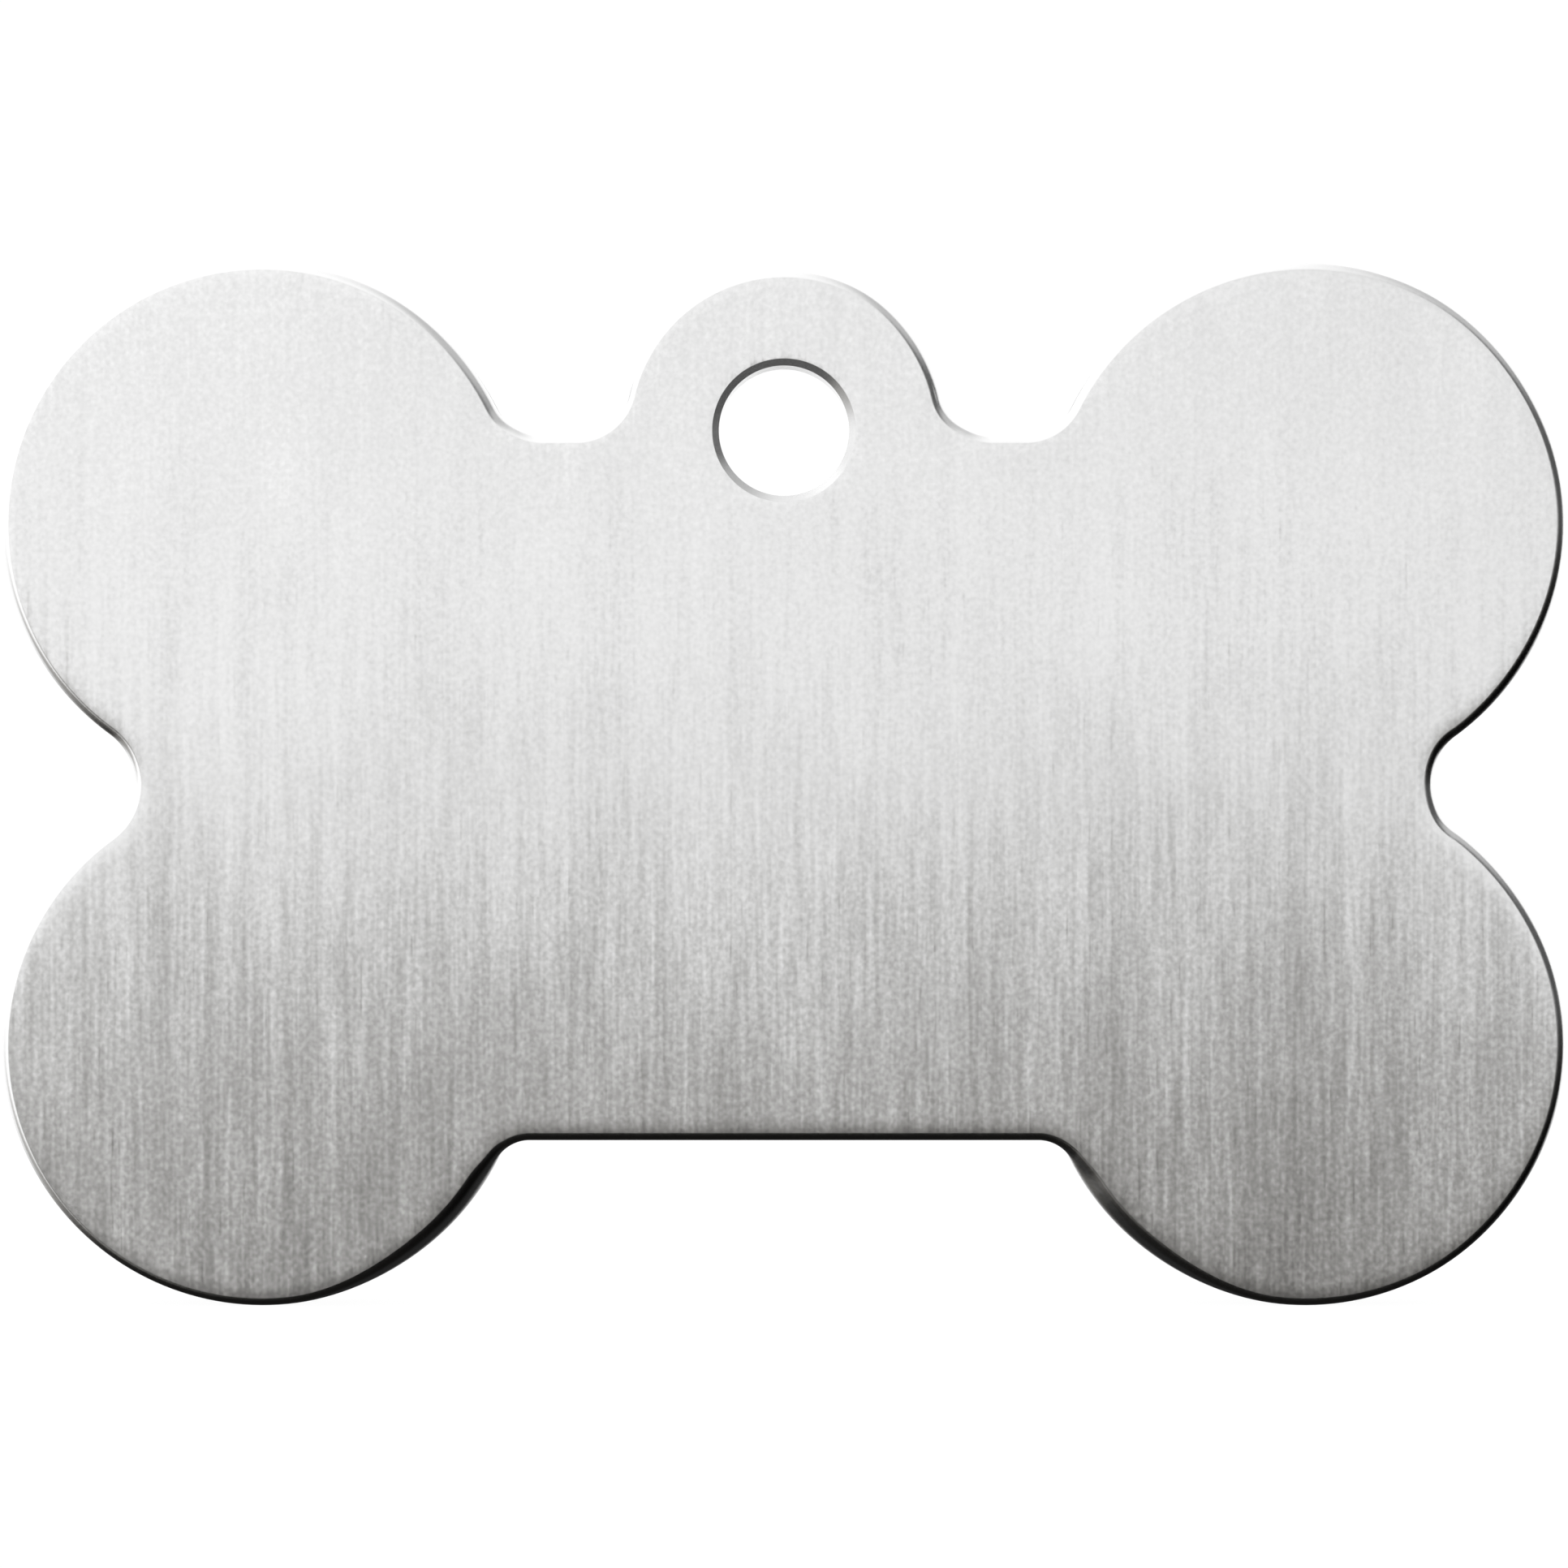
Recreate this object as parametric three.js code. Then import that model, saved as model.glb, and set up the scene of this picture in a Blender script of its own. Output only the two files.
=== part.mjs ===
import * as THREE from 'three';

// Bone-shaped pet tag: one flat plate blanked from sheet metal, with a pierced lug at the top.
// Millimetres. +X runs along the bone, +Z points up to the lug, and the brushed face looks along -Y.
// The origin lies on the axis of the hole, halfway through the plate, where a ring carries the tag.

// Driving dimensions
const THICKNESS = 1.5;
const EDGE_BREAK = 0.18; // width and depth of the broken edge, round the outline and the hole
const HOLE_DIAMETER = 3.175;
const LUG_WALL = 2.32; // metal between the hole and the outside of the lug
const LUG_RISE = 4.03; // top of the lug above the top edge of the bar
const SADDLE_FLAT = 0.79; // straight run of the bar's top edge, on each side of the lug
const SADDLE_DEPTH = 4.22; // top edge of the bar below the tops of the upper lobes
const SADDLE_FILLET = 1.3;
const LOBE_RADIUS = 6.35; // the four round corners of the bone
const NOTCH_DEPTH = 3.235; // floor of the hollow in each end, inside the reach of the lobes
const NOTCH_RADIUS = 1.5;
const WAIST_DEPTH = 4.02; // bottom edge of the bar above the lowest points of the lobes
const WAIST_FILLET = 0.92;
const CHORD_ERROR = 0.005; // most that a facet may stand off its true arc

// Brushed, silver-grey metal
const METAL = { color: 0xc8c8c8, roughness: 0.38, metalness: 1.0 };

// Directions on an arc
const RIGHT = 0;
const UP = Math.PI / 2;
const DOWN = -Math.PI / 2;
const FULL_TURN = 2 * Math.PI;

function circle(x, z, radius) {
  return { centre: new THREE.Vector2(x, z), radius };
}

// Two circles touch from outside. The first stands proud of a straight edge by the given height, and
// the second, a fillet, rests on that edge: this is how far apart their centres are along the edge.
function filletReach(height, firstRadius, filletRadius) {
  const radii = firstRadius + filletRadius;
  return Math.sqrt(height * (2 * radii - height));
}

// Circles that the right-hand half of the outline follows, each touching the next
function outlineCircles() {
  const lugRadius = HOLE_DIAMETER / 2 + LUG_WALL;
  const barTop = lugRadius - LUG_RISE;
  const upperLobeZ = barTop + SADDLE_DEPTH - LOBE_RADIUS;
  const notchZ = upperLobeZ - filletReach(NOTCH_DEPTH, LOBE_RADIUS, NOTCH_RADIUS);
  const lowerLobeZ = 2 * notchZ - upperLobeZ;
  const barBottom = lowerLobeZ - LOBE_RADIUS + WAIST_DEPTH;

  const lugFilletX = filletReach(LUG_RISE, lugRadius, SADDLE_FILLET);
  const lobeFilletX = lugFilletX + SADDLE_FLAT;
  const lobeX = lobeFilletX + filletReach(SADDLE_DEPTH, LOBE_RADIUS, SADDLE_FILLET);
  const notchX = lobeX + LOBE_RADIUS - NOTCH_DEPTH + NOTCH_RADIUS;
  const waistX = lobeX - filletReach(WAIST_DEPTH, LOBE_RADIUS, WAIST_FILLET);

  return {
    lug: circle(0, 0, lugRadius),
    lugFillet: circle(lugFilletX, barTop + SADDLE_FILLET, SADDLE_FILLET),
    lobeFillet: circle(lobeFilletX, barTop + SADDLE_FILLET, SADDLE_FILLET),
    upperLobe: circle(lobeX, upperLobeZ, LOBE_RADIUS),
    notch: circle(notchX, notchZ, NOTCH_RADIUS),
    lowerLobe: circle(lobeX, lowerLobeZ, LOBE_RADIUS),
    waistFillet: circle(waistX, barBottom - WAIST_FILLET, WAIST_FILLET),
  };
}

function towards(from, to) {
  return Math.atan2(to.centre.y - from.centre.y, to.centre.x - from.centre.x);
}

// Points of an arc, as few as CHORD_ERROR allows
function arcPoints({ centre, radius }, start, end, clockwise) {
  const arc = new THREE.EllipseCurve(centre.x, centre.y, radius, radius, start, end, clockwise);
  const sweep = arc.getLength() / radius;
  const step = 2 * Math.acos(1 - CHORD_ERROR / radius);
  return arc.getPoints(Math.ceil(sweep / step));
}

// Right-hand half of the outline, from the top of the lug clockwise to the bottom edge of the bar.
// Lobes and lug are followed clockwise, and the hollows between them the other way.
function halfOutline() {
  const { lug, lugFillet, lobeFillet, upperLobe, notch, lowerLobe, waistFillet } = outlineCircles();
  return [
    ...arcPoints(lug, UP, towards(lug, lugFillet), true),
    ...arcPoints(lugFillet, towards(lugFillet, lug), DOWN, false),
    ...arcPoints(lobeFillet, DOWN, towards(lobeFillet, upperLobe), false),
    ...arcPoints(upperLobe, towards(upperLobe, lobeFillet), towards(upperLobe, notch), true),
    ...arcPoints(notch, towards(notch, upperLobe), towards(notch, lowerLobe), false),
    ...arcPoints(lowerLobe, towards(lowerLobe, notch), towards(lowerLobe, waistFillet), true),
    ...arcPoints(waistFillet, towards(waistFillet, lowerLobe), UP, false),
  ];
}

// The whole outline with its hole. Arcs share their end points, so each repeated point is dropped.
function plateShape() {
  const right = halfOutline();
  const left = right.map((point) => new THREE.Vector2(-point.x, point.y)).reverse();
  const corners = [...right, ...left];
  const outline = corners.filter((point, i) => point.distanceTo(corners.at(i - 1)) > CHORD_ERROR);

  const hole = arcPoints(circle(0, 0, HOLE_DIAMETER / 2), RIGHT, FULL_TURN, false);
  const shape = new THREE.Shape(outline);
  shape.holes.push(new THREE.Path(hole.slice(1)));
  return shape;
}

function tagPlate() {
  const straightWall = THICKNESS - 2 * EDGE_BREAK;
  const geometry = new THREE.ExtrudeGeometry(plateShape(), {
    depth: straightWall,
    bevelThickness: EDGE_BREAK,
    bevelSize: EDGE_BREAK,
    bevelOffset: -EDGE_BREAK,
    bevelSegments: 1,
  });
  geometry.translate(0, 0, -straightWall / 2);

  const plate = new THREE.Mesh(geometry, new THREE.MeshStandardMaterial(METAL));
  plate.name = 'tag_plate';
  plate.rotation.x = Math.PI / 2;
  return plate;
}

const tag = new THREE.Group();
tag.add(tagPlate());

export default tag;
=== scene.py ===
"""Looks of a bone-shaped pet tag: one brushed plate with broken edges, in a plain pale studio.

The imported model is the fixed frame. The plate is swept again here at a finer pitch, with the rolled,
broken and sheared edge that blanking leaves, and takes the place of the plain solid.
"""

import logging
import math
from collections.abc import Mapping
from dataclasses import dataclass, field, fields
from enum import Enum, IntEnum
from typing import NamedTuple

import bmesh
import bpy
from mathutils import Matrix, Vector


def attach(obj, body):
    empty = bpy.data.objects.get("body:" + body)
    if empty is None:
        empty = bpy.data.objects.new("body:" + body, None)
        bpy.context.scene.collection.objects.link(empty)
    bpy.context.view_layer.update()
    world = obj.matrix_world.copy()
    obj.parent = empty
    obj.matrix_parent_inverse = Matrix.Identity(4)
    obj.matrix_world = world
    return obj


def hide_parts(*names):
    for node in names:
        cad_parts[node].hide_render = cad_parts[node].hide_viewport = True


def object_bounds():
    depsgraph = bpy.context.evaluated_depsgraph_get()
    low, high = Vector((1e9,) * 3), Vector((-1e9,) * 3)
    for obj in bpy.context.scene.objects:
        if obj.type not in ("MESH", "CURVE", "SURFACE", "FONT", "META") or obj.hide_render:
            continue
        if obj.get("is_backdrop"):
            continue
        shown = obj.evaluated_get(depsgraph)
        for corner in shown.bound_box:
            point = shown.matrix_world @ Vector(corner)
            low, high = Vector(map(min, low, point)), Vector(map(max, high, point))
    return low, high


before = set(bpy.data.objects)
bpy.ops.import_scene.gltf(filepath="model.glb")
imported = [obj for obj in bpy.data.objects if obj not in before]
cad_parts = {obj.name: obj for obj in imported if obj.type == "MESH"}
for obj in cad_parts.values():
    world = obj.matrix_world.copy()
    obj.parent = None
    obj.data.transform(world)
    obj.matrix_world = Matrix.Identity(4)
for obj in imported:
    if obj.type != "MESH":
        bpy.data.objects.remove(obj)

LOG = logging.getLogger("pet_tag")
MM = 0.001
MICRON = 0.001 * MM
UP = math.pi / 2
DOWN = -math.pi / 2

Socket = bpy.types.NodeSocket
Feed = Socket | bpy.types.Material | float | int | str | tuple
Pair = tuple[float, float]
Stops = tuple[Pair, ...]
Colour = tuple[float, float, float, float]


class Bend(Enum):
    """Which way the edge of the metal curves along an arc of the outline."""

    ROUND = 1
    HOLLOW = -1


class Zone(IntEnum):
    """Parts of the plate's surface that are finished in different ways."""

    FACE = 0
    EDGE = 1
    WALL = 2
    HOLE = 3


@dataclass
class NodeSheet:
    """A shader, world or geometry tree, with short ways to add nodes and join their sockets."""

    tree: bpy.types.NodeTree

    def node(
        self, kind: str, feeds: Mapping[str | int, Feed] | None = None, **settings: object
    ) -> bpy.types.Node:
        """Adds a node, applies its settings and feeds its inputs.

        Args:
            kind: Blender's name for the node's type.
            feeds: value or socket for each input, by its name or its number.
            **settings: the node's own properties.

        Returns:
            The new node.
        """
        node = self.tree.nodes.new(kind)
        for name, value in settings.items():
            setattr(node, name, value)
        for key, feed in (feeds or {}).items():
            self.feed(self.input_of(node, key), feed)
        return node

    @staticmethod
    def input_of(node: bpy.types.Node, key: str | int) -> Socket:
        """Finds the input that a node uses for a name, or the one at a number.

        Args:
            node: the node that has the input.
            key: the input's name or number.

        Returns:
            The socket that the node's settings leave in use.
        """
        if isinstance(key, int):
            return node.inputs[key]
        return next(socket for socket in node.inputs if socket.name == key and socket.enabled)

    def feed(self, socket: Socket, feed: Feed) -> None:
        """Joins an input to an output, or sets its value.

        Args:
            socket: the input to feed.
            feed: an output to join it to, or a value.
        """
        if isinstance(feed, Socket):
            self.tree.links.new(feed, socket)
        else:
            socket.default_value = feed

    def math(self, operation: str, *operands: Feed, clamp: bool = False) -> Socket:
        """Adds a Math node.

        Args:
            operation: Blender's name for the sum.
            *operands: values or sockets, in the node's order.
            clamp: holds the result between 0 and 1.

        Returns:
            The result's socket.
        """
        feeds = dict(enumerate(operands))
        return self.node("ShaderNodeMath", feeds, operation=operation, use_clamp=clamp).outputs[0]

    def total(self, *terms: Feed) -> Feed:
        """Adds up several values or sockets."""
        result = terms[0]
        for term in terms[1:]:
            result = self.math("ADD", result, term)
        return result

    def product(self, *factors: Feed) -> Feed:
        """Multiplies several values or sockets."""
        result = factors[0]
        for factor in factors[1:]:
            result = self.math("MULTIPLY", result, factor)
        return result

    def soft_step(self, value: Feed, low: float, high: float) -> Socket:
        """Adds a soft step.

        Args:
            value: what is compared.
            low: where the step is still 0.
            high: where it has reached 1.

        Returns:
            The socket of the step, from 0 to 1.
        """
        feeds = {"Value": value, "From Min": low, "From Max": high}
        return self.node("ShaderNodeMapRange", feeds, interpolation_type="SMOOTHSTEP").outputs[0]

    def blend(self, kind: str, share: Feed, first: Feed, second: Feed, data: str = "FLOAT") -> Socket:
        """Adds a Mix node.

        Args:
            kind: Blender's name for the way that colours are mixed. Numbers are always averaged.
            share: how much the second one counts.
            first: value or socket that is mixed.
            second: value or socket that it is mixed with.
            data: Blender's name for what is mixed.

        Returns:
            The socket of the mixture.
        """
        feeds = {"Factor": share, "A": first, "B": second}
        node = self.node("ShaderNodeMix", feeds, data_type=data, blend_type=kind)
        return next(socket for socket in node.outputs if socket.enabled)

    def ramp(self, value: Feed, stops: Mapping[float, Colour]) -> Socket:
        """Adds a ramp whose stops may lie anywhere on the number line.

        Args:
            value: where on the ramp to read.
            stops: colour of each stop by its place, in rising order.

        Returns:
            The socket of the colour.
        """
        low = min(stops)
        span = max(stops) - low
        share = self.math("DIVIDE", self.math("SUBTRACT", value, low), span, clamp=True)
        node = self.node("ShaderNodeValToRGB", {"Fac": share})
        elements = node.color_ramp.elements
        for place in list(stops)[1:-1]:
            elements.new((place - low) / span)
        for element, (place, colour) in zip(elements, stops.items()):
            element.position = (place - low) / span
            element.color = colour
        return node.outputs["Color"]


def neutral(level: float) -> Colour:
    """A grey of one level."""
    return (level, level, level, 1.0)


def eased(value: float, low: float, high: float) -> float:
    """A soft step.

    Args:
        value: what is compared.
        low: where the step is still 0.
        high: where it has reached 1.

    Returns:
        The step, from 0 to 1.
    """
    share = min(1.0, max(0.0, (value - low) / (high - low)))
    return share * share * (3.0 - 2.0 * share)


@dataclass(frozen=True)
class Circle:
    """A circle that the outline follows, in the upright plane of the plate."""

    x: float
    z: float
    radius: float

    def towards(self, other: "Circle") -> float:
        """Angle from this circle's centre to the other's."""
        return math.atan2(other.z - self.z, other.x - self.x)


@dataclass(frozen=True)
class Station:
    """A point of the outline, and the direction that leads out of the metal there."""

    x: float
    z: float
    out_x: float
    out_z: float

    def mirrored(self) -> "Station":
        """The same point on the other side of the tag's upright centre line."""
        return Station(-self.x, self.z, -self.out_x, self.out_z)

    def gap_to(self, other: "Station") -> float:
        """Distance between two points of the outline."""
        return math.hypot(other.x - self.x, other.z - self.z)

    def part_way(self, other: "Station", share: float) -> "Station":
        """A point on the straight run from this one to the other, facing as this one does."""
        x = self.x + share * (other.x - self.x)
        z = self.z + share * (other.z - self.z)
        return Station(x, z, self.out_x, self.out_z)


class BoneCircles(NamedTuple):
    """Circles of the outline's right-hand half, from the lug clockwise to the waist."""

    lug: Circle
    lug_fillet: Circle
    lobe_fillet: Circle
    upper_lobe: Circle
    notch: Circle
    lower_lobe: Circle
    waist: Circle


@dataclass
class BoneOutline:
    """Outline of the tag as a chain of touching arcs, with the hole's centre at the origin.

    The sizes are the driving dimensions of the solid, in metres.
    """

    hole_diameter: float = 3.175 * MM
    lug_wall: float = 2.32 * MM
    lug_rise: float = 4.03 * MM
    saddle_flat: float = 0.79 * MM
    saddle_depth: float = 4.22 * MM
    saddle_fillet: float = 1.3 * MM
    lobe_radius: float = 6.35 * MM
    notch_depth: float = 3.235 * MM
    notch_radius: float = 1.5 * MM
    waist_depth: float = 4.02 * MM
    waist_fillet: float = 0.92 * MM
    arc_step: float = math.radians(2.0)
    longest_run: float = 0.4 * MM
    same_point: float = 1.0 * MICRON
    flank_inward: Pair = (0.1, 0.65)
    flank_below: Pair = (0.0, 1.15 * MM)
    right_facing: Pair = (0.45, 0.9)
    right_spread: float = 0.3

    @staticmethod
    def fillet_reach(height: float, first_radius: float, fillet_radius: float) -> float:
        """Spacing, along a straight edge, of a circle and a fillet that touches it.

        Args:
            height: how far the circle stands proud of the edge.
            first_radius: the circle's radius.
            fillet_radius: the radius of the fillet that rests on the edge.

        Returns:
            Distance between the two centres along the edge.
        """
        radii = first_radius + fillet_radius
        return math.sqrt(height * (2 * radii - height))

    def circles(self) -> BoneCircles:
        """Lays out the circles of the right-hand half."""
        lug_radius = self.hole_diameter / 2 + self.lug_wall
        bar_top = lug_radius - self.lug_rise
        upper_z = bar_top + self.saddle_depth - self.lobe_radius
        notch_z = upper_z - self.fillet_reach(self.notch_depth, self.lobe_radius, self.notch_radius)
        lower_z = 2 * notch_z - upper_z
        bar_bottom = lower_z - self.lobe_radius + self.waist_depth
        lug_fillet_x = self.fillet_reach(self.lug_rise, lug_radius, self.saddle_fillet)
        lobe_fillet_x = lug_fillet_x + self.saddle_flat
        lobe_reach = self.fillet_reach(self.saddle_depth, self.lobe_radius, self.saddle_fillet)
        lobe_x = lobe_fillet_x + lobe_reach
        notch_x = lobe_x + self.lobe_radius - self.notch_depth + self.notch_radius
        waist_x = lobe_x - self.fillet_reach(self.waist_depth, self.lobe_radius, self.waist_fillet)
        return BoneCircles(
            lug=Circle(0.0, 0.0, lug_radius),
            lug_fillet=Circle(lug_fillet_x, bar_top + self.saddle_fillet, self.saddle_fillet),
            lobe_fillet=Circle(lobe_fillet_x, bar_top + self.saddle_fillet, self.saddle_fillet),
            upper_lobe=Circle(lobe_x, upper_z, self.lobe_radius),
            notch=Circle(notch_x, notch_z, self.notch_radius),
            lower_lobe=Circle(lobe_x, lower_z, self.lobe_radius),
            waist=Circle(waist_x, bar_bottom - self.waist_fillet, self.waist_fillet),
        )

    @property
    def middle_z(self) -> float:
        """Height of the bone's middle, level with the hollows in its two ends."""
        return self.circles().notch.z

    def arc(self, circle: Circle, start: float, end: float, bend: Bend) -> list[Station]:
        """Steps along one arc: clockwise if it is round, the other way if it is hollow.

        Args:
            circle: the circle that the arc lies on.
            start: angle of its first point.
            end: angle of its last point.
            bend: whether it bulges out of the metal or cuts into it.

        Returns:
            Its points, both ends included.
        """
        sweep = (bend.value * (start - end)) % math.tau
        count = math.ceil(sweep / self.arc_step)
        stations = []
        for i in range(count + 1):
            angle = start - bend.value * sweep * i / count
            across = math.cos(angle)
            up = math.sin(angle)
            x = circle.x + circle.radius * across
            z = circle.z + circle.radius * up
            stations.append(Station(x, z, bend.value * across, bend.value * up))
        return stations

    def right_half(self) -> list[Station]:
        """Chains the arcs of the right-hand half.

        Returns:
            Points from the top of the lug clockwise to the bottom edge of the bar.
        """
        lug, lug_fillet, lobe_fillet, upper, notch, lower, waist = self.circles()
        return [
            *self.arc(lug, UP, lug.towards(lug_fillet), Bend.ROUND),
            *self.arc(lug_fillet, lug_fillet.towards(lug), DOWN, Bend.HOLLOW),
            *self.arc(lobe_fillet, DOWN, lobe_fillet.towards(upper), Bend.HOLLOW),
            *self.arc(upper, upper.towards(lobe_fillet), upper.towards(notch), Bend.ROUND),
            *self.arc(notch, notch.towards(upper), notch.towards(lower), Bend.HOLLOW),
            *self.arc(lower, lower.towards(notch), lower.towards(waist), Bend.ROUND),
            *self.arc(waist, waist.towards(lower), UP, Bend.HOLLOW),
        ]

    def rim(self) -> list[Station]:
        """Closes the outline, with straight runs cut into short steps.

        Returns:
            Points once round the tag, clockwise.
        """
        right = self.right_half()
        corners = right + [station.mirrored() for station in reversed(right)]
        before = corners[-1:] + corners[:-1]
        apart = [here for here, last in zip(corners, before) if here.gap_to(last) > self.same_point]
        stations = []
        for here, after in zip(apart, apart[1:] + apart[:1]):
            steps = math.ceil(here.gap_to(after) / self.longest_run)
            stations += [here.part_way(after, i / steps) for i in range(steps)]
        return stations

    def hole(self) -> list[Station]:
        """Steps once round the hole, whose edge faces its own centre."""
        circle = Circle(0.0, 0.0, self.hole_diameter / 2)
        count = math.ceil(math.tau / self.arc_step)
        return self.arc(circle, 0.0, math.tau * (count - 1) / count, Bend.HOLLOW)

    def spread_of(self, station: Station) -> float:
        """How much wider the edge break is at a point of the rim.

        It widens fully on the inner flanks of the lower lobes, which hang below the bar and face the
        tag's upright centre line, and a little on all edges that face right.

        Args:
            station: a point of the rim.

        Returns:
            A share from 0 to 1.
        """
        waist = self.circles().waist
        below = waist.z + waist.radius - station.z
        inward = -station.out_x if station.x > 0 else station.out_x
        flank = eased(inward, *self.flank_inward) * eased(below, *self.flank_below)
        return max(flank, self.right_spread * eased(station.out_x, *self.right_facing))


@dataclass
class EdgeSection:
    """Section through the plate's edge, from the flat of the front face to the flat of the back.

    The face rolls down a little ahead of the edge, then a rounded break turns over into the wall. The
    back part of the wall, torn and not cut, lies a little deeper, and a small break ends it. The hole
    has a plain chamfer in place of the rounded break. The plate is a hair thinner than its solid, which
    keeps it inside the solid's box.
    """

    thickness: float = 1.4999 * MM
    roll_width: float = 0.6 * MM
    roll_drop: float = 0.009 * MM
    break_width: float = 0.19 * MM
    break_depth: float = 0.22 * MM
    flank_width: float = 0.21 * MM
    flank_depth: float = 0.8 * MM
    hole_width: float = 0.16 * MM
    hole_depth: float = 0.125 * MM
    lead_angle: float = math.radians(7.0)
    tear_depth: float = 0.02 * MM
    tear_start: float = 0.5
    back_width: float = 0.12 * MM
    back_depth: float = 0.12 * MM
    crease_angle: float = math.radians(30.0)
    weld_gap: float = 2.0 * MICRON
    roll_steps: int = 10
    break_steps: int = 12
    wall_steps: int = 10
    back_steps: int = 6


class SectionSweep:
    """Geometry tree that sweeps an edge section round guide loops and closes both faces."""

    GUIDE = "Guide Loops"
    UV_MAP = "grain"
    SCRATCH = ("place", "outward", "spread", "pierced", "ring", "zone")
    HALF_STEP = 0.5

    def __init__(self, section: EdgeSection, finishes: Mapping[Zone, bpy.types.Material]) -> None:
        """Builds the tree.

        Args:
            section: the sizes, each of which becomes an input of the tree.
            finishes: the material of each zone.
        """
        self.tree = bpy.data.node_groups.new("tag_edge_sweep", "GeometryNodeTree")
        self.sheet = NodeSheet(self.tree)
        self.values: dict[str, float | int | bpy.types.Material] = {}
        self.tree.interface.new_socket(self.GUIDE, in_out="INPUT", socket_type="NodeSocketGeometry")
        for size in fields(section):
            kind = "NodeSocketInt" if size.type is int else "NodeSocketFloat"
            self.declare(size.name, kind, getattr(section, size.name))
        for zone, material in finishes.items():
            self.declare(zone.name, "NodeSocketMaterial", material)
        self.tree.interface.new_socket("Plate", in_out="OUTPUT", socket_type="NodeSocketGeometry")
        self.inputs = self.sheet.node("NodeGroupInput").outputs
        self.build()

    def declare(self, name: str, kind: str, value: float | int | bpy.types.Material) -> None:
        """Adds a named input and notes the value that it gets.

        Args:
            name: the input's name.
            kind: Blender's name for the type of socket.
            value: what the plate's modifier sets.
        """
        socket = self.tree.interface.new_socket(name, in_out="INPUT", socket_type=kind)
        self.values[socket.identifier] = value

    def attribute(self, name: str, kind: str = "FLOAT") -> Socket:
        """Reads a named attribute of the loops or of the mesh."""
        node = self.sheet.node("GeometryNodeInputNamedAttribute", {"Name": name}, data_type=kind)
        return node.outputs[0]

    def store(self, shape: Feed, name: str, value: Feed, kind: str, domain: str) -> Socket:
        """Writes a named attribute.

        Args:
            shape: the geometry that gets it.
            name: the attribute's name.
            value: its value, which may differ from point to point.
            kind: its type.
            domain: what it is stored on.

        Returns:
            The geometry with the attribute.
        """
        feeds = {"Geometry": shape, "Name": name, "Value": value}
        node = self.sheet.node("GeometryNodeStoreNamedAttribute", feeds, data_type=kind, domain=domain)
        return node.outputs[0]

    def moved(self, shape: Feed, inset: Feed, height: Feed) -> Socket:
        """Sets each point in from the loop that it belongs to, and up from the middle of the plate.

        Args:
            shape: the curve or mesh that is moved.
            inset: distance into the metal.
            height: distance in front of the plate's middle.

        Returns:
            The moved geometry.
        """
        sheet = self.sheet
        outward = self.attribute("outward", "FLOAT_VECTOR")
        feeds = {"Vector": outward, "Scale": sheet.product(inset, -1.0)}
        inward = sheet.node("ShaderNodeVectorMath", feeds, operation="SCALE").outputs[0]
        lift = sheet.node("ShaderNodeCombineXYZ", {"Z": height}).outputs[0]
        shift = sheet.node("ShaderNodeVectorMath", {0: inward, 1: lift}, operation="ADD").outputs[0]
        start = self.attribute("place", "FLOAT_VECTOR")
        place = sheet.node("ShaderNodeVectorMath", {0: start, 1: shift}, operation="ADD").outputs[0]
        return sheet.node("GeometryNodeSetPosition", {"Geometry": shape, "Position": place}).outputs[0]

    def either(self, rim: Feed, hole: Feed) -> Socket:
        """Picks the first value on the rim and the second one on the hole."""
        return self.sheet.blend("MIX", self.attribute("pierced"), rim, hole)

    def break_size(self, side: str) -> Feed:
        """Width or depth of the front break, which grows on the flanks of the lobes."""
        grown = self.sheet.product(self.attribute("spread"), self.inputs[f"flank_{side}"])
        rim = self.sheet.total(self.inputs[f"break_{side}"], grown)
        return self.either(rim, self.inputs[f"hole_{side}"])

    def progress(self, first: Feed, steps: Feed) -> Socket:
        """Share of a stretch of the section that a ring has passed.

        Args:
            first: number of the ring where the stretch starts.
            steps: how many rings it takes.

        Returns:
            The share, from 0 to 1.
        """
        past = self.sheet.math("SUBTRACT", self.attribute("ring"), first)
        return self.sheet.math("DIVIDE", past, steps, clamp=True)

    def band(self, loops: Feed) -> Socket:
        """Sweeps the section from the flat of the front face to the flat of the back.

        Args:
            loops: the rim and the hole as closed curves.

        Returns:
            The band of quads, with the zone of each face stored on it.
        """
        sheet = self.sheet
        size = self.inputs
        break_start = size["roll_steps"]
        wall_start = sheet.total(break_start, size["break_steps"])
        back_start = sheet.total(wall_start, size["wall_steps"])
        rings = sheet.total(back_start, size["back_steps"], 1)

        line = sheet.node("GeometryNodeCurvePrimitiveLine").outputs[0]
        line = sheet.node("GeometryNodeResampleCurve", {"Curve": line, "Count": rings}).outputs[0]
        index = sheet.node("GeometryNodeInputIndex").outputs[0]
        line = self.store(line, "ring", index, "FLOAT", "POINT")
        feeds = {"Curve": loops, "Profile Curve": line}
        strip = sheet.node("GeometryNodeCurveToMesh", feeds).outputs[0]

        ahead = sheet.math("SUBTRACT", 1, self.progress(0, size["roll_steps"]))
        ahead = sheet.product(ahead, ahead)
        roll = sheet.math("SUBTRACT", 1, ahead)
        turn = self.progress(break_start, size["break_steps"])
        wall = self.progress(wall_start, size["wall_steps"])
        back = sheet.product(self.progress(back_start, size["back_steps"]), UP)

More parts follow.
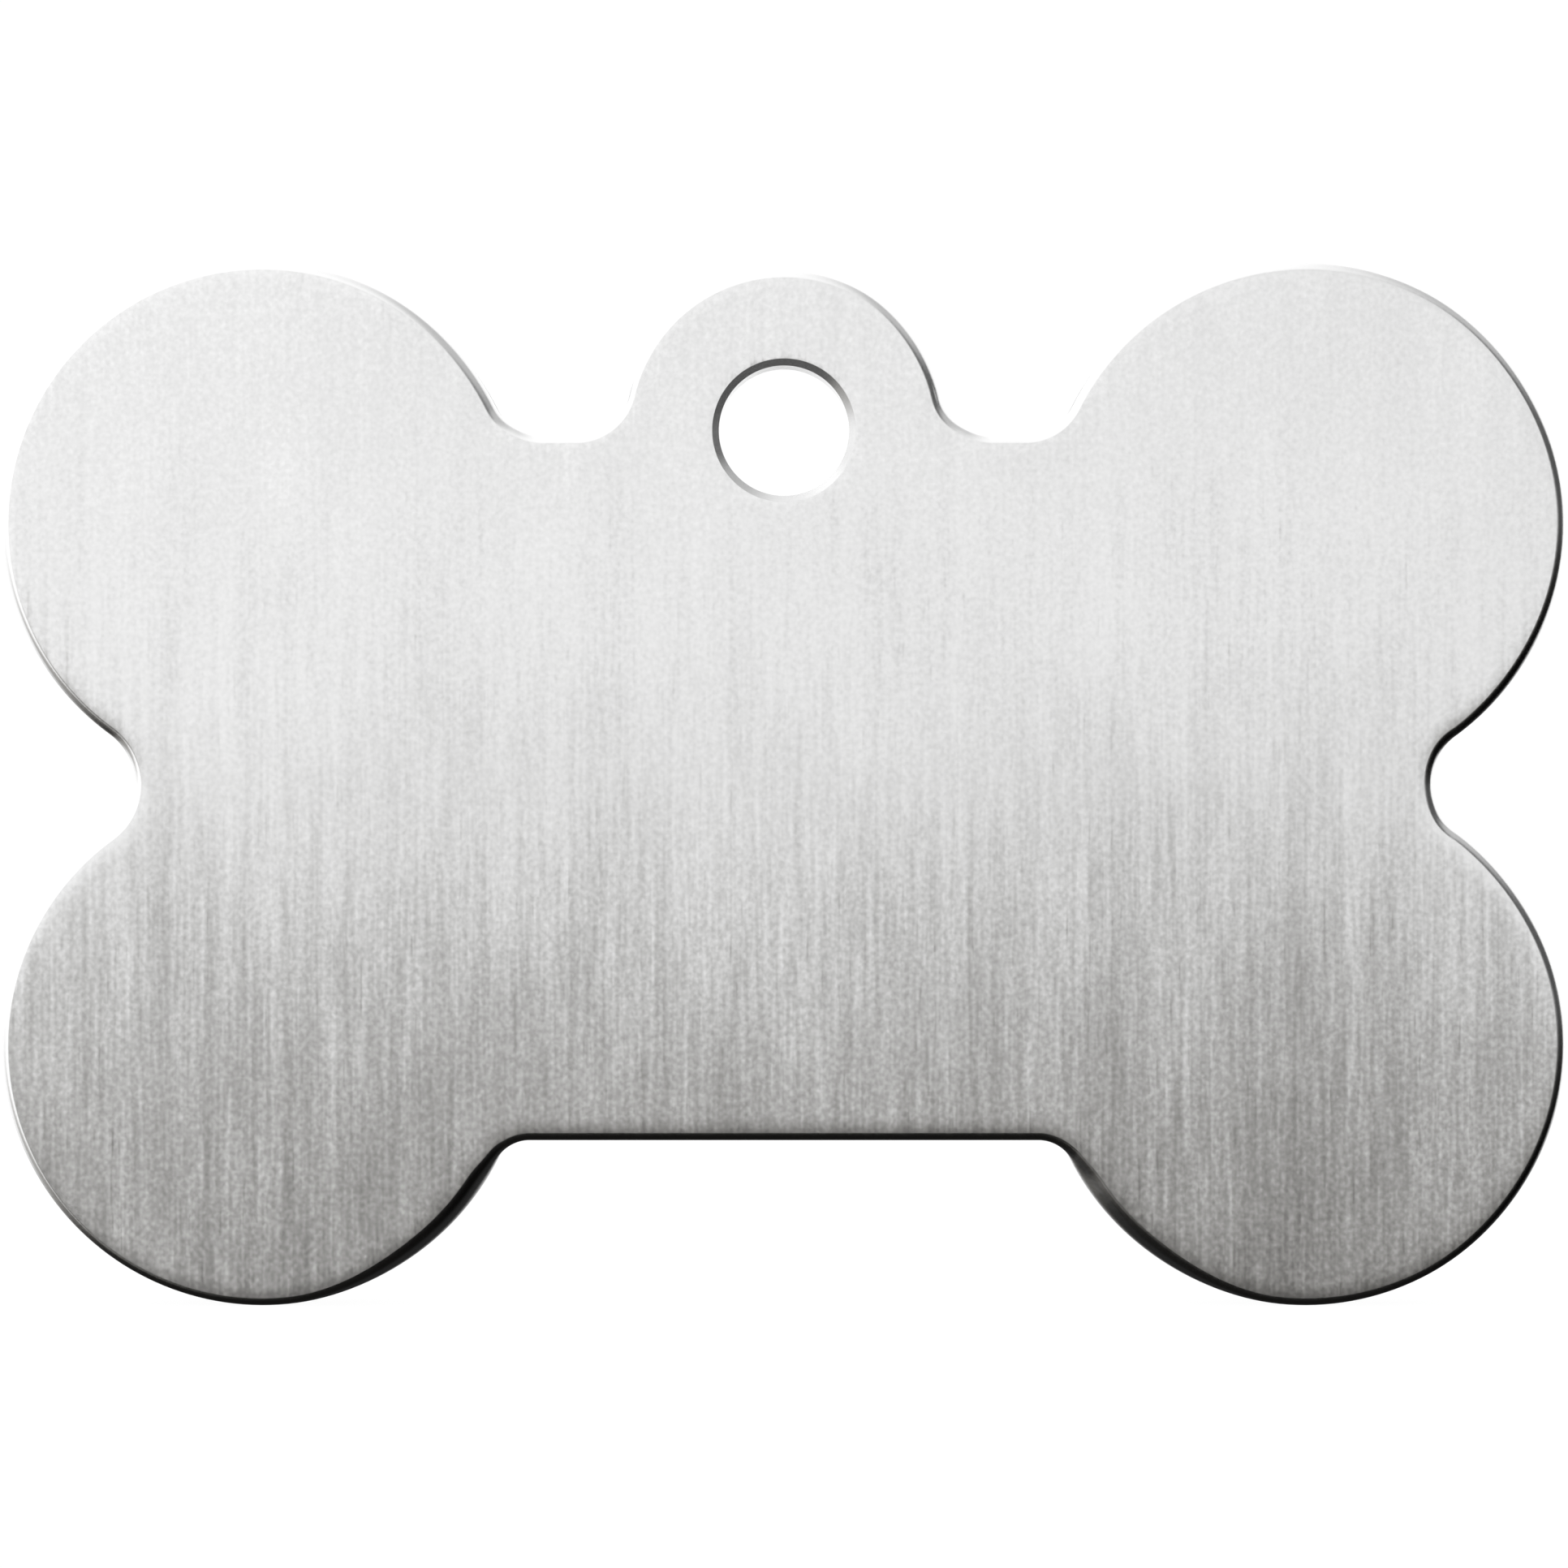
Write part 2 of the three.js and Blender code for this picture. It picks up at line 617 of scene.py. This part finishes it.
        lead = size["lead_angle"]
        tilt = sheet.total(lead, sheet.product(turn, sheet.math("SUBTRACT", UP, lead)))
        reach = sheet.math("SUBTRACT", 1, sheet.math("SINE", tilt))
        reach = sheet.math("DIVIDE", reach, sheet.math("SUBTRACT", 1, sheet.math("SINE", lead)))
        sink = sheet.math("DIVIDE", sheet.math("COSINE", tilt), sheet.math("COSINE", lead))
        sink = self.either(sheet.math("SUBTRACT", 1, sink), turn)
        reach = self.either(reach, sheet.math("SUBTRACT", 1, turn))
        torn = sheet.math("GREATER_THAN", wall, size["tear_start"])

        inset = sheet.total(
            sheet.product(size["roll_width"], ahead),
            sheet.product(self.break_size("width"), reach),
            sheet.product(size["tear_depth"], torn),
            sheet.product(size["back_width"], sheet.math("SUBTRACT", 1, sheet.math("COSINE", back))),
        )
        spent = sheet.total(size["roll_drop"], self.break_size("depth"), size["back_depth"])
        drop = sheet.total(
            sheet.product(size["roll_drop"], roll, roll, roll, roll),
            sheet.product(self.break_size("depth"), sink),
            sheet.product(sheet.math("SUBTRACT", size["thickness"], spent), wall),
            sheet.product(size["back_depth"], sheet.math("SINE", back)),
        )
        height = sheet.math("SUBTRACT", sheet.product(size["thickness"], 0.5), drop)
        strip = self.moved(strip, inset, height)

        starts = (break_start, wall_start, back_start)
        rim_zones = (Zone.EDGE, Zone.WALL, Zone.EDGE)
        hole_zones = (Zone.HOLE, Zone.EDGE, Zone.EDGE)
        zone = self.either(self.zone_past(starts, rim_zones), self.zone_past(starts, hole_zones))
        return self.store(strip, "zone", zone, "INT", "FACE")

    def zone_past(self, starts: tuple[Feed, ...], zones: tuple[Zone, ...]) -> Feed:
        """Zone of each face of the swept band.

        Args:
            starts: number of the ring where each stretch starts, after the roll of the face.
            zones: the zone of each stretch.

        Returns:
            The zone's number, which is the face's own ahead of the first start.
        """
        sheet = self.sheet
        ring = self.attribute("ring")
        before = (Zone.FACE, *zones[:-1])
        changes = [int(here) - int(last) for here, last in zip(zones, before)]
        past = [sheet.math("GREATER_THAN", ring, start) for start in starts]
        return sheet.total(*(sheet.product(step, change) for step, change in zip(past, changes)))

    def flat(self, loops: Feed, inset: Feed, height: Feed) -> Socket:
        """Fills the loops, set in, as a flat face.

        Args:
            loops: the rim and the hole as closed curves.
            inset: how far in from them the flat ends.
            height: distance of the flat in front of the plate's middle.

        Returns:
            The flat as triangles, each shaded by its own normal.
        """
        sheet = self.sheet
        edge = self.moved(loops, inset, 0.0)
        filled = sheet.node("GeometryNodeFillCurve", {"Curve": edge}, mode="TRIANGLES").outputs[0]
        lift = sheet.node("ShaderNodeCombineXYZ", {"Z": height}).outputs[0]
        raised = sheet.node("GeometryNodeSetPosition", {"Geometry": filled, "Offset": lift}).outputs[0]
        feeds = {0: raised, "Shade Smooth": False}
        return sheet.node("GeometryNodeSetShadeSmooth", feeds, domain="FACE").outputs[0]

    def finished(self, shape: Feed) -> Socket:
        """Stands the plate up and gives each zone its material.

        Args:
            shape: the welded plate, lying in the drawing plane.

        Returns:
            The finished plate.
        """
        sheet = self.sheet
        feeds = {"Geometry": shape, "Rotation": (UP, 0.0, 0.0)}
        shape = sheet.node("GeometryNodeTransform", feeds).outputs[0]
        shape = sheet.node("GeometryNodeRealizeInstances", {"Geometry": shape}).outputs[0]
        for zone in Zone:
            number = self.attribute("zone", "INT")
            chosen = sheet.math("COMPARE", number, int(zone), self.HALF_STEP)
            feeds = {"Geometry": shape, "Selection": chosen, "Material": self.inputs[zone.name]}
            shape = sheet.node("GeometryNodeSetMaterial", feeds).outputs[0]
        return shape

    def build(self) -> None:
        """Joins the tree's parts from the guide loops to the finished plate."""
        sheet = self.sheet
        size = self.inputs
        loops = sheet.node("GeometryNodeMeshToCurve", {"Mesh": size[self.GUIDE]}).outputs[0]
        position = sheet.node("GeometryNodeInputPosition").outputs[0]
        loops = self.store(loops, "place", position, "FLOAT_VECTOR", "POINT")

        half = sheet.product(size["thickness"], 0.5)
        front_inset = sheet.total(size["roll_width"], self.break_size("width"))
        back_inset = sheet.total(size["back_width"], size["tear_depth"])
        front = self.flat(loops, front_inset, half)
        back = self.flat(loops, back_inset, sheet.product(half, -1.0))
        back = sheet.node("GeometryNodeFlipFaces", {"Mesh": back}).outputs[0]

        join = sheet.node("GeometryNodeJoinGeometry")
        for shape in (self.band(loops), front, back):
            sheet.feed(join.inputs[0], shape)
        feeds = {"Geometry": join.outputs[0], "Distance": size["weld_gap"]}
        plate = sheet.node("GeometryNodeMergeByDistance", feeds).outputs[0]
        plate = self.store(plate, self.UV_MAP, position, "FLOAT2", "CORNER")
        angle = sheet.node("GeometryNodeInputMeshEdgeAngle").outputs["Unsigned Angle"]
        sharp = sheet.math("GREATER_THAN", angle, size["crease_angle"])
        feeds = {0: plate, "Selection": sharp, "Shade Smooth": False}
        plate = sheet.node("GeometryNodeSetShadeSmooth", feeds, domain="EDGE").outputs[0]
        sheet.node("NodeGroupOutput", {"Plate": self.finished(plate)})

    def apply(self, guide: bpy.types.Object) -> bpy.types.Mesh:
        """Runs the tree on the guide loops.

        Args:
            guide: object whose mesh holds the loops.

        Returns:
            The plate as a plain mesh, its normals pointing out.
        """
        modifier = guide.modifiers.new("edge_sweep", "NODES")
        modifier.node_group = self.tree
        for identifier, value in self.values.items():
            modifier[identifier] = value
        depsgraph = bpy.context.evaluated_depsgraph_get()
        evaluated = guide.evaluated_get(depsgraph)
        mesh = bpy.data.meshes.new_from_object(
            evaluated, preserve_all_data_layers=True, depsgraph=depsgraph
        )
        guide.modifiers.remove(modifier)
        for name in self.SCRATCH:
            if name in mesh.attributes:
                mesh.attributes.remove(mesh.attributes[name])
        solid = bmesh.new()
        solid.from_mesh(mesh)
        bmesh.ops.recalc_face_normals(solid, faces=solid.faces)
        solid.to_mesh(mesh)
        solid.free()
        return mesh


@dataclass(frozen=True)
class GrainLayer:
    """One scale of marks in a finish.

    Width, length and depth are the marks' own sizes. Lean is how far they tip along their length, as
    a slope. Shade and scatter are the shares by which they lighten the metal and roughen it. Only
    what rises above the cut is kept, which leaves sparse marks.
    """

    width: float
    length: float
    depth: float = 0.0
    lean: float = 0.0
    shade: float = 0.0
    scatter: float = 0.0
    detail: float = 1.0
    cut: float | None = None


@dataclass(frozen=True)
class Finish:
    """A metal surface whose marks lie along one axis of the plate.

    Strength is how strong the marks are at each height on the plate, from low to high. Bow is how far
    the surface tips along the lay at each place across the plate, as a slope, from left to right.
    Grazing is the share of the light that is still reflected at a flat angle.
    """

    LAYER_SHIFT = (17.0, 5.0, 11.0)

    name: str
    grey: float
    roughness: float
    layers: tuple[GrainLayer, ...]
    lay: Vector = field(default_factory=lambda: Vector((0.0, 0.0, 1.0)))
    anisotropy: float = 0.0
    metallic: float = 1.0
    grazing: float = 1.0
    strength: Stops = ()
    bow: Stops = ()

    def material(self) -> bpy.types.Material:
        """Builds the material.

        Returns:
            A new material, named for the finish.
        """
        material = bpy.data.materials.new(self.name)
        material.use_nodes = True
        material.node_tree.nodes.clear()
        sheet = NodeSheet(material.node_tree)
        place = sheet.node("ShaderNodeTexCoord").outputs["Object"]
        axes = sheet.node("ShaderNodeSeparateXYZ", {0: place}).outputs
        marks = [self.marks(sheet, place, layer, number) for number, layer in enumerate(self.layers)]
        strength = self.level_at(sheet, axes["Z"], self.strength, 1.0)
        marks = [sheet.product(mark, strength) for mark in marks]
        grey = sheet.product(sheet.total(1.0, self.summed(sheet, marks, "shade")), self.grey)
        feeds = {"Red": grey, "Green": grey, "Blue": grey}
        colour = sheet.node("ShaderNodeCombineColor", feeds).outputs[0]
        rough = sheet.total(1.0, self.summed(sheet, marks, "scatter"))
        rough = sheet.math("MULTIPLY", rough, self.roughness, clamp=True)
        normal = self.normal(sheet, marks, self.level_at(sheet, axes["X"], self.bow, 0.0))
        feeds = {"Base Color": colour, "Metallic": self.metallic, "Roughness": rough, "Normal": normal}
        feeds["Specular Tint"] = neutral(self.grazing)
        if self.anisotropy:
            settings = {"direction_type": "UV_MAP", "uv_map": SectionSweep.UV_MAP}
            tangent = sheet.node("ShaderNodeTangent", **settings).outputs[0]
            feeds |= {"Anisotropic": self.anisotropy, "Tangent": tangent}
        shader = sheet.node("ShaderNodeBsdfPrincipled", feeds)
        sheet.node("ShaderNodeOutputMaterial", {"Surface": shader.outputs[0]})
        return material

    @staticmethod
    def level_at(sheet: NodeSheet, place: Feed, stops: Stops, plain: float) -> Feed:
        """Reads a level that changes along one axis of the plate.

        Args:
            sheet: the material's nodes.
            place: coordinate along the axis.
            stops: the level at some places, in rising order.
            plain: the level where no stops are given.

        Returns:
            The level's socket or value.
        """
        if not stops:
            return plain
        return sheet.ramp(place, {at: neutral(level) for at, level in stops})

    def summed(self, sheet: NodeSheet, marks: list[Socket], size: str) -> Feed:
        """Adds up the patterns of the layers, each weighted by the same one of its sizes.

        Args:
            sheet: the material's nodes.
            marks: the pattern of each layer.
            size: the size's name.

        Returns:
            The sum's socket, or 0 where no layer has the size.
        """
        weights = [getattr(layer, size) for layer in self.layers]
        terms = [sheet.product(mark, weight) for mark, weight in zip(marks, weights) if weight]
        return sheet.total(0.0, *terms)

    def normal(self, sheet: NodeSheet, marks: list[Socket], bowed: Feed) -> Socket:
        """Bends the surface's normal to the depth and the lean of the marks.

        Args:
            sheet: the material's nodes.
            marks: the pattern of each layer.
            bowed: how far the surface itself tips along the lay.

        Returns:
            The socket of the bent normal.
        """
        feeds = {"Height": self.summed(sheet, marks, "depth"), "Distance": 1.0}
        bump = sheet.node("ShaderNodeBump", feeds).outputs[0]
        spaces = {"convert_from": "OBJECT", "convert_to": "WORLD"}
        lay = sheet.node("ShaderNodeVectorTransform", {"Vector": self.lay}, **spaces).outputs[0]
        feeds = {"Vector": lay, "Scale": sheet.total(self.summed(sheet, marks, "lean"), bowed)}
        tip = sheet.node("ShaderNodeVectorMath", feeds, operation="SCALE").outputs[0]
        bent = sheet.node("ShaderNodeVectorMath", {0: bump, 1: tip}, operation="ADD").outputs[0]
        return sheet.node("ShaderNodeVectorMath", {0: bent}, operation="NORMALIZE").outputs[0]

    def marks(self, sheet: NodeSheet, place: Feed, layer: GrainLayer, number: int) -> Socket:
        """Adds the pattern of one layer.

        Args:
            sheet: the material's nodes.
            place: coordinates on the plate.
            layer: the marks' sizes.
            number: the layer's number, which sets it off from the others.

        Returns:
            The pattern, about -1 to 1.
        """
        scale = [1.0 / (layer.length if along else layer.width) for along in self.lay]
        shift = [part * number for part in self.LAYER_SHIFT]
        feeds = {"Vector": place, "Location": shift, "Scale": scale}
        mapped = sheet.node("ShaderNodeMapping", feeds).outputs[0]
        feeds = {"Vector": mapped, "Scale": 1.0, "Detail": layer.detail}
        noise = sheet.node("ShaderNodeTexNoise", feeds, noise_dimensions="3D").outputs[0]
        pattern = sheet.math("MULTIPLY_ADD", noise, 2.0, -1.0)
        if layer.cut is None:
            return pattern
        return sheet.math("MAXIMUM", sheet.math("SUBTRACT", pattern, layer.cut), 0.0)


@dataclass
class TagPlate:
    """The tag itself: one blanked plate with its brushed faces, broken edges and sheared wall."""

    outline: BoneOutline = field(default_factory=BoneOutline)
    section: EdgeSection = field(default_factory=EdgeSection)
    name: str = "brushed_tag_plate"
    cad_node: str = "tag_plate"
    body: str = "root"
    slot: str = "brushed_plate"
    face: Finish = Finish(
        name="brushed_face",
        grey=0.82,
        roughness=0.24,
        anisotropy=0.98,
        bow=(
            (-12.0 * MM, 0.0),
            (-6.0 * MM, 0.002),
            (0.0, 0.0037),
            (6.0 * MM, 0.002),
            (11.0 * MM, 0.0),
            (13.0 * MM, 0.0),
            (15.0 * MM, 0.0035),
            (17.0 * MM, 0.0095),
            (19.0 * MM, 0.013),
        ),
        strength=(
            (-21.3 * MM, 1.6),
            (-19.2 * MM, 1.5),
            (-15.2 * MM, 1.1),
            (-11.7 * MM, 0.95),
            (-8.6 * MM, 0.7),
            (-5.0 * MM, 1.0),
            (-1.8 * MM, 1.35),
            (4.1 * MM, 1.35),
        ),
        layers=(
            GrainLayer(width=0.12 * MM, length=0.13 * MM, lean=0.0185, shade=0.095, detail=3.0),
            GrainLayer(width=0.12 * MM, length=2.4 * MM, lean=0.0165, shade=0.02),
            GrainLayer(width=0.3 * MM, length=14.0 * MM, lean=0.0115, shade=0.015),
            GrainLayer(width=2.4 * MM, length=5.0 * MM, lean=0.011, shade=0.03, detail=2.0),
            GrainLayer(width=0.11 * MM, length=1.2 * MM, lean=-0.05, shade=-0.05, cut=0.33),
        ),
    )
    edge: Finish = Finish(
        name="polished_edge",
        grey=0.86,
        roughness=0.23,
        layers=(
            GrainLayer(width=0.1 * MM, length=0.1 * MM, depth=0.5 * MICRON, shade=0.03, scatter=0.2),
        ),
    )
    wall: Finish = Finish(
        name="sheared_wall",
        grey=0.64,
        roughness=0.4,
        metallic=0.88,
        grazing=0.4,
        lay=Vector((0.0, 1.0, 0.0)),
        layers=(
            GrainLayer(width=0.05 * MM, length=0.8 * MM, depth=1.5 * MICRON, shade=0.15, scatter=0.3),
        ),
    )
    pierced: Finish = Finish(
        name="pierced_edge",
        grey=0.74,
        roughness=0.25,
        metallic=0.9,
        layers=(GrainLayer(width=0.1 * MM, length=0.1 * MM, shade=0.04, scatter=0.1),),
    )

    def guide(self) -> bpy.types.Object:
        """Draws the rim and the hole as loops of edges.

        Returns:
            An object whose mesh holds the loops, lying in the drawing plane. Each point has the
            direction out of the metal, the spread of the break and whether it is on the hole.
        """
        loops = [self.outline.rim(), self.outline.hole()]
        spread = [self.outline.spread_of(station) for station in loops[0]] + [0.0] * len(loops[1])
        pierced = [0.0] * len(loops[0]) + [1.0] * len(loops[1])
        points = []
        edges = []
        outward = []
        for loop in loops:
            first = len(points)
            points += [(station.x, station.z, 0.0) for station in loop]
            edges += [(first + i, first + (i + 1) % len(loop)) for i in range(len(loop))]
            for station in loop:
                outward += [station.out_x, station.out_z, 0.0]
        mesh = bpy.data.meshes.new("guide_loops")
        mesh.from_pydata(points, edges, [])
        mesh.attributes.new("outward", "FLOAT_VECTOR", "POINT").data.foreach_set("vector", outward)
        mesh.attributes.new("spread", "FLOAT", "POINT").data.foreach_set("value", spread)
        mesh.attributes.new("pierced", "FLOAT", "POINT").data.foreach_set("value", pierced)
        guide = bpy.data.objects.new("guide_loops", mesh)
        bpy.context.scene.collection.objects.link(guide)
        return guide

    def build(self) -> None:
        """Sweeps the plate, dresses it and sets it in the frame."""
        finishes = {
            Zone.FACE: self.face.material(),
            Zone.EDGE: self.edge.material(),
            Zone.WALL: self.wall.material(),
            Zone.HOLE: self.pierced.material(),
        }
        guide = self.guide()
        mesh = SectionSweep(self.section, finishes).apply(guide)
        bpy.data.objects.remove(guide)
        mesh.name = self.name
        piece = bpy.data.objects.new(self.name, mesh)
        bpy.context.scene.collection.objects.link(piece)
        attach(piece, self.body)
        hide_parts(self.cad_node)
        LOG.info("%s: %d faces, rides on %s", piece.name, len(mesh.polygons), self.body)


class Way(NamedTuple):
    """Sockets of the direction that light comes from, as the camera sees it, each from -1 to 1."""

    left: Socket
    right: Socket
    back: Socket
    up: Socket


@dataclass(frozen=True)
class SoftLight:
    """Light from all round: bright above and to the left, dark below and to the right.

    The sky sets the level by the light's rise, which is how high it comes from. The rise leans and is
    lifted towards the left, and out on the left flank it changes more gently. A glow lies on the left
    and a dark card stands on the right. A fill lights what faces away from the camera, with a gap on
    the right. A pair that is named for a direction is where a soft step along it goes from 0 to 1.
    Lift, flank_rise and fill_lift are each a slope and a base.
    """

    ambient: float = 1.0
    backdrop: float = 1.02
    shadow_tint: tuple[float, float, float] = (0.05, 0.0, -0.085)
    sky: Stops = (
        (-0.4, 0.006),
        (-0.3, 0.048),
        (-0.25, 0.08),
        (-0.2, 0.108),
        (-0.16, 0.15),
        (-0.13, 0.25),
        (-0.1, 0.325),
        (-0.07, 0.38),
        (-0.04, 0.56),
        (-0.01, 0.836),
        (0.02, 1.003),
        (0.05, 1.03),
        (0.1, 0.955),
        (0.16, 1.04),
        (0.25, 1.1),
        (0.4, 1.18),
        (0.7, 1.22),
    )
    lean: float = 0.035
    lift: Pair = (0.28, 0.1)
    lift_aside: Pair = (0.11, 0.26)
    lift_left: Pair = (0.0, 0.3)
    flank_rise: Pair = (0.22, 0.01)
    flank_aside: Pair = (0.35, 0.7)
    flank_left: Pair = (0.6, 0.85)
    glow: float = 0.25
    glow_left: Pair = (0.1, 0.6)
    card_shifts: tuple[tuple[float, Pair], ...] = ((-0.12, (-0.02, 0.05)), (0.42, (0.1, 0.3)))
    card_right: Pair = (0.3, 0.9)
    card_up: Pair = (0.4, 0.65)
    card_depths: Pair = (0.92, 0.52)
    fill_levels: Pair = (0.02, 1.15)
    fill_up: Pair = (-0.4, -0.05)
    fill_back: Pair = (0.2, 0.65)
    fill_left: Pair = (0.45, 0.75)
    fill_lift: Pair = (-0.33, 0.085)
    fill_wrap: float = 0.45
    gap_up: Pair = (0.5, 0.2)
    gap_right: Pair = (0.7, 0.85)

    def build(self) -> None:
        """Lights the scene. The camera and matt surfaces are each given one even level."""
        world = bpy.data.worlds.new("soft_studio")
        bpy.context.scene.world = world
        world.use_nodes = True
        world.node_tree.nodes.clear()
        sheet = NodeSheet(world.node_tree)
        place = sheet.node("ShaderNodeTexCoord").outputs["Generated"]
        right, back, up = sheet.node("ShaderNodeSeparateXYZ", {0: place}).outputs
        way = Way(sheet.product(right, -1.0), right, back, up)
        glow = sheet.product(sheet.soft_step(way.left, *self.glow_left), self.glow)
        sides = sheet.total(1.0, self.card_shade(sheet, way), glow)
        front = sheet.blend("MULTIPLY", 1.0, self.sky_colour(sheet, way), sides, "RGBA")
        seen = sheet.blend("LIGHTEN", 1.0, front, self.fill_level(sheet, way), "RGBA")
        rays = sheet.node("ShaderNodeLightPath").outputs
        colour = sheet.blend("MIX", rays["Is Diffuse Ray"], seen, self.tinted(self.ambient), "RGBA")
        colour = sheet.blend("MIX", rays["Is Camera Ray"], colour, self.tinted(self.backdrop), "RGBA")
        background = sheet.node("ShaderNodeBackground", {"Color": colour, "Strength": 1.0}).outputs[0]
        sheet.node("ShaderNodeOutputWorld", {"Surface": background})

    def tinted(self, level: float) -> Colour:
        """Colour of the light at a level: neutral where it is full, a little warm where it is dim."""
        dim = max(0.0, 1.0 - level)
        red, green, blue = (level * (1.0 + share * dim * dim) for share in self.shadow_tint)
        return (red, green, blue, 1.0)

    def sky_colour(self, sheet: NodeSheet, way: Way) -> Socket:
        """Reads the sky.

        Args:
            sheet: the world's nodes.
            way: the direction that the light comes from.

        Returns:
            The socket of its colour.
        """
        ahead = sheet.math("MAXIMUM", sheet.product(way.back, -1.0), 0.0)
        aside = sheet.math("SUBTRACT", 1.0, ahead)
        lift = sheet.product(
            sheet.soft_step(aside, *self.lift_aside),
            sheet.soft_step(way.left, *self.lift_left),
            sheet.math("MULTIPLY_ADD", ahead, *self.lift),
        )
        rise = sheet.total(way.up, sheet.product(way.left, self.lean), lift)
        across = sheet.math("SQRT", sheet.math("SUBTRACT", 1.0, sheet.product(way.back, way.back)))
        flank = sheet.product(
            sheet.soft_step(aside, *self.flank_aside),
            sheet.soft_step(sheet.math("DIVIDE", way.left, across), *self.flank_left),
        )
        rise = sheet.blend("MIX", flank, rise, sheet.math("MULTIPLY_ADD", way.up, *self.flank_rise))
        return sheet.ramp(rise, {place: self.tinted(level) for place, level in self.sky})

    def card_shade(self, sheet: NodeSheet, way: Way) -> Feed:
        """Reads the dark card, whose edge shifts and whose depth changes with height.

        Args:
            sheet: the world's nodes.
            way: the direction that the light comes from.

        Returns:
            The socket of its shade, from 0 down to about -1.
        """
        right = way.right
        for shift, span in self.card_shifts:
            right = sheet.math("MULTIPLY_ADD", sheet.soft_step(way.up, *span), shift, right)
        low, high = self.card_depths
        depth = sheet.math("MULTIPLY_ADD", sheet.soft_step(way.up, *self.card_up), low - high, -low)
        return sheet.product(sheet.soft_step(right, *self.card_right), depth)

    def fill_level(self, sheet: NodeSheet, way: Way) -> Feed:
        """Reads the fill, which reaches lower and further round on the far left.

        Args:
            sheet: the world's nodes.
            way: the direction that the light comes from.

        Returns:
            The socket of its level.
        """
        far_left = sheet.soft_step(way.left, *self.fill_left)
        lift = sheet.math("MULTIPLY_ADD", way.up, *self.fill_lift)
        height = sheet.math("MULTIPLY_ADD", lift, far_left, way.up)
        around = sheet.math("MULTIPLY_ADD", far_left, self.fill_wrap, way.back)
        low, high = self.fill_levels
        level = sheet.math("MULTIPLY_ADD", sheet.soft_step(height, *self.fill_up), high - low, low)
        gap = sheet.product(
            sheet.soft_step(way.up, *self.gap_up), sheet.soft_step(way.right, *self.gap_right)
        )
        kept = sheet.math("SUBTRACT", 1.0, gap)
        return sheet.product(sheet.soft_step(around, *self.fill_back), level, kept)


@dataclass
class Studio:
    """Plain pale floor under the tag and a camera square to its face."""

    target: Vector
    floor_z: float
    frame_width: float = 38.13 * MM
    lens: float = 100.0
    sensor: float = 36.0
    near_share: float = 0.01
    far_share: float = 2.0
    floor_size: float = 4.0
    floor_grey: float = 0.05
    floor_roughness: float = 0.9
    floor_glow: float = 0.97

    def floor(self) -> None:
        """Lays the floor under the tag, out of sight of the metal's reflections."""
        half = self.floor_size / 2
        corners = [(-half, -half, self.floor_z), (half, -half, self.floor_z)]
        corners += [(half, half, self.floor_z), (-half, half, self.floor_z)]
        mesh = bpy.data.meshes.new("studio_floor")
        mesh.from_pydata(corners, [], [(0, 1, 2, 3)])
        material = bpy.data.materials.new("pale_floor")
        material.use_nodes = True
        shader = material.node_tree.nodes["Principled BSDF"]
        shader.inputs["Base Color"].default_value = neutral(self.floor_grey)
        shader.inputs["Roughness"].default_value = self.floor_roughness
        shader.inputs["Specular IOR Level"].default_value = 0.0
        shader.inputs["Emission Color"].default_value = neutral(1.0)
        shader.inputs["Emission Strength"].default_value = self.floor_glow
        mesh.materials.append(material)
        floor = bpy.data.objects.new("studio_floor", mesh)
        floor.visible_glossy = False
        bpy.context.scene.collection.objects.link(floor)
        floor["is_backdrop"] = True

    def camera(self, face_y: float) -> None:
        """Sets the camera square to the tag's face, with the tag filling the width of the picture.

        Args:
            face_y: where the front face lies.
        """
        data = bpy.data.cameras.new("studio_camera")
        data.lens = self.lens
        data.sensor_width = self.sensor
        distance = self.frame_width * self.lens / self.sensor
        data.clip_start = self.near_share * distance
        data.clip_end = self.far_share * self.floor_size
        camera = bpy.data.objects.new("studio_camera", data)
        camera.location = (self.target.x, face_y - distance, self.target.z)
        camera.rotation_euler = (UP, 0.0, 0.0)
        bpy.context.scene.collection.objects.link(camera)
        bpy.context.scene.camera = camera


def main() -> None:
    """Builds the tag and sets it in its studio, placed by the solid's box."""
    logging.basicConfig(level=logging.INFO, format="%(name)s: %(message)s")
    solid_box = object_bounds()
    low, _ = solid_box

    tag = TagPlate()
    tag.build()

    SoftLight().build()
    studio = Studio(target=Vector((0.0, 0.0, tag.outline.middle_z)), floor_z=low.z)
    studio.floor()
    studio.camera(face_y=low.y)
    bpy.context.scene.view_settings.view_transform = "Standard"


if __name__ == "__main__":
    main()
